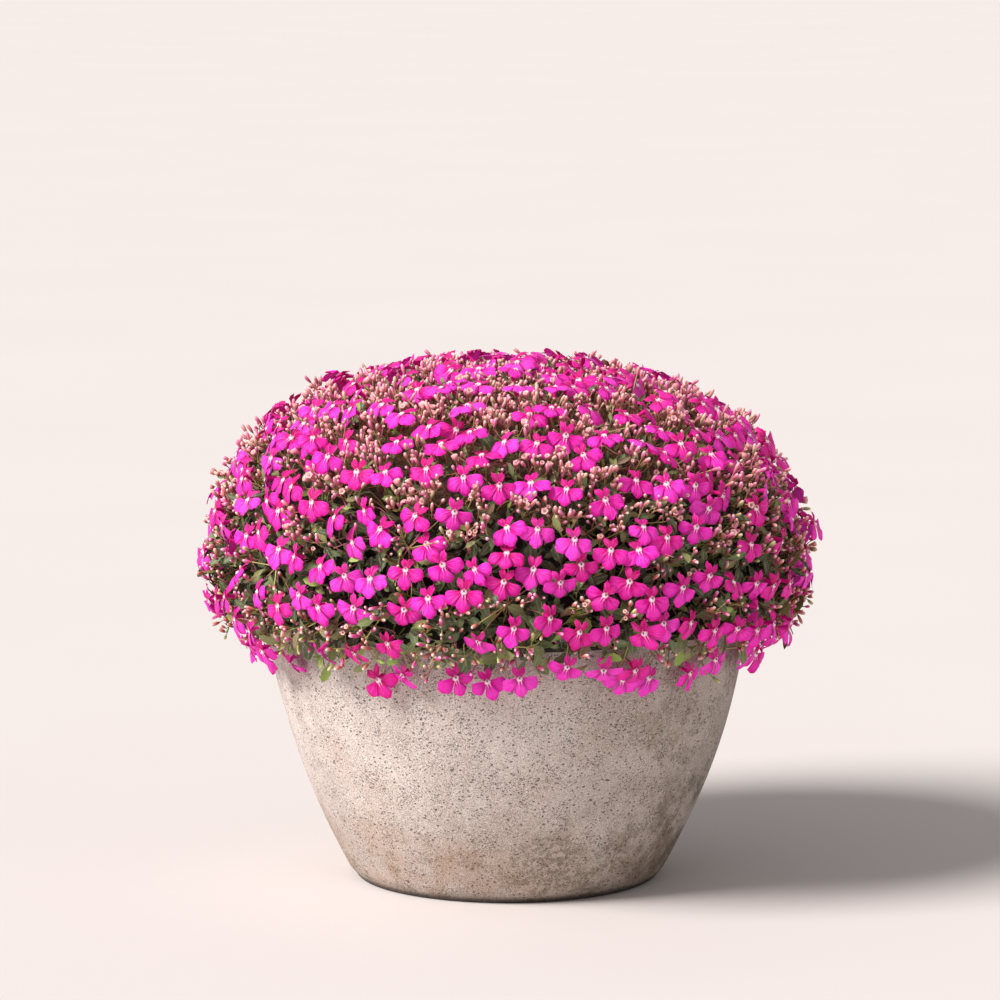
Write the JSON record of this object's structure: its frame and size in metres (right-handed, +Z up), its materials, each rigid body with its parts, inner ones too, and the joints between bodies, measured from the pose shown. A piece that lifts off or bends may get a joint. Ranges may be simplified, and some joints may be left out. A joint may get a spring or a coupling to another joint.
{
  "type": "potted edging lobelia",
  "caption": "Edging lobelia in a round cast stone bowl: a low dome of magenta flowers with white eyes, with small green leaves between them, that hangs over the rim.",
  "frame": {"origin": "on the floor, under the middle of the bowl's base", "axes": "+Z up along the bowl's axis; the pictured side faces -Y; +X is to the right in the picture"},
  "size_m": [0.3138, 0.3119, 0.2687],
  "materials": {
    "bowl": "matte",
    "compost": "matte",
    "foliage": "matte",
    "flowers": "satin"
  },
  "bodies": {
    "root": {"stone_bowl": "bowl", "compost": "compost", "plant_middle": "foliage", "plant_round_1": "foliage", "plant_round_2": "foliage", "plant_round_3": "foliage", "plant_round_4": "foliage", "plant_round_5": "foliage", "plant_round_6": "foliage", "flower_spray_01": "flowers", "flower_spray_02": "flowers", "flower_spray_03": "flowers", "flower_spray_04": "flowers", "flower_spray_05": "flowers", "flower_spray_06": "flowers", "flower_spray_07": "flowers", "flower_spray_08": "flowers", "flower_spray_09": "flowers", "flower_spray_10": "flowers", "flower_spray_11": "flowers", "flower_spray_12": "flowers", "flower_spray_13": "flowers", "flower_spray_14": "flowers", "flower_spray_15": "flowers", "flower_spray_16": "flowers", "flower_spray_17": "flowers", "flower_spray_18": "flowers", "flower_spray_19": "flowers", "flower_spray_20": "flowers", "flower_spray_21": "flowers", "flower_spray_22": "flowers", "flower_spray_23": "flowers", "flower_spray_24": "flowers", "flower_spray_25": "flowers", "flower_spray_26": "flowers", "flower_spray_27": "flowers", "flower_spray_28": "flowers", "flower_spray_29": "flowers", "flower_spray_30": "flowers", "flower_spray_31": "flowers", "flower_spray_32": "flowers", "flower_spray_33": "flowers", "flower_spray_34": "flowers", "flower_spray_35": "flowers", "flower_spray_36": "flowers", "flower_spray_37": "flowers", "flower_spray_38": "flowers", "flower_spray_39": "flowers", "flower_spray_40": "flowers", "flower_spray_41": "flowers", "flower_spray_42": "flowers", "flower_spray_43": "flowers", "flower_spray_44": "flowers", "flower_spray_45": "flowers", "flower_spray_46": "flowers", "flower_spray_47": "flowers", "flower_spray_48": "flowers"}
  },
  "joints": []
}
